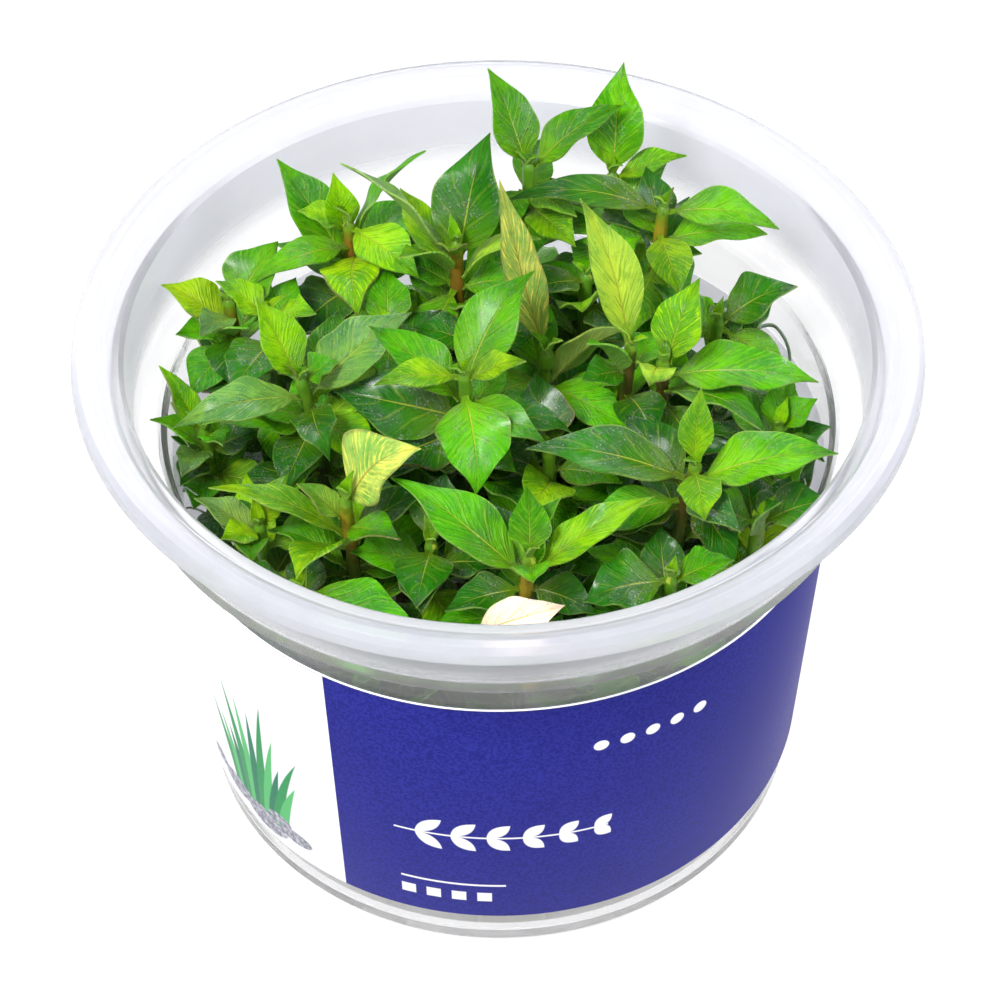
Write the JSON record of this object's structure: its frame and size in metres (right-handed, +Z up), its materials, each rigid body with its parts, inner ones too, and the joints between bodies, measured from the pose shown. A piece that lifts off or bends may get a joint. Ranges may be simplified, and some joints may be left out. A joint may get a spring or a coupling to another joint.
{
  "type": "potted aquarium foreground plant",
  "caption": "Small leafy aquarium foreground plant: upright shoots with opposite pointed leaves, growing in gel in a translucent plastic cup with a wide lip and a printed label band.",
  "frame": {"origin": "centre of the cup's flat underside, on the surface it stands on", "axes": "+Z up along the cup's axis; -Y towards the viewer of the picture; +X to the viewer's right"},
  "size_m": [0.1028, 0.1028, 0.087],
  "materials": {
    "cup_plastic": "translucent milky polypropylene, smooth with fine turned streaks on the lip",
    "label_film": "satin printed film, navy with one white panel",
    "growth_gel": "wet pale nutrient gel",
    "shoot_green": "fresh green leaves and stems, satin with wet highlights",
    "leaf_green": "fresh green leaf, satin, paler midrib",
    "leaf_dark": "dark green leaf, glossy and wet",
    "leaf_young": "young yellow-green leaf, soft satin",
    "leaf_yellow": "yellowing leaf, matt, veins paler",
    "leaf_bleached": "bleached dead leaf, matt and papery"
  },
  "bodies": {
    "root": {"growth_gel": "growth_gel", "label": "label_film", "leaf_back_dark": "leaf_dark", "leaf_back_left": "leaf_green", "leaf_back_right": "leaf_green", "leaf_back_right_arching": "leaf_dark", "leaf_back_slender": "leaf_green", "leaf_bleached": "leaf_bleached", "leaf_centre_front": "leaf_green", "leaf_centre_rear": "leaf_green", "leaf_crumpled_yellow": "leaf_yellow", "leaf_dark_glossy": "leaf_dark", "leaf_dark_upright": "leaf_dark", "leaf_front_left": "leaf_green", "leaf_left_arching": "leaf_green", "leaf_left_broad": "leaf_green", "leaf_left_upright": "leaf_young", "leaf_long_dark": "leaf_dark", "leaf_long_yellow": "leaf_yellow", "leaf_pale_tall": "leaf_yellow", "leaf_peak_left": "leaf_green", "leaf_peak_middle": "leaf_green", "leaf_peak_right": "leaf_green", "leaf_right_broad": "leaf_green", "leaf_right_dark": "leaf_dark", "leaf_right_front": "leaf_green", "leaf_rim_front": "leaf_green", "leaf_slender": "leaf_young", "leaf_underside": "leaf_green", "leaf_young_lance": "leaf_young", "pot": "cup_plastic", "shoot_back": "shoot_green", "shoot_back_left": "shoot_green", "shoot_centre": "shoot_green", "shoot_far_left": "shoot_green", "shoot_far_right": "shoot_green", "shoot_front": "shoot_green", "shoot_front_left": "shoot_green", "shoot_front_right": "shoot_green", "shoot_inner": "shoot_green", "shoot_inner_back": "shoot_green", "shoot_inner_front": "shoot_green", "shoot_inner_left": "shoot_green", "shoot_inner_rear_left": "shoot_green", "shoot_left": "shoot_green", "shoot_left_edge": "shoot_green", "shoot_low_middle": "shoot_green", "shoot_middle": "shoot_green", "shoot_middle_right": "shoot_green", "shoot_peak_left": "shoot_green", "shoot_peak_right": "shoot_green", "shoot_right": "shoot_green", "shoot_right_back": "shoot_green", "shoot_right_edge": "shoot_green", "shoot_right_rear": "shoot_green", "shoot_rim_left": "shoot_green", "shoot_slim": "shoot_green", "shoot_tall": "shoot_green"}
  },
  "joints": []
}
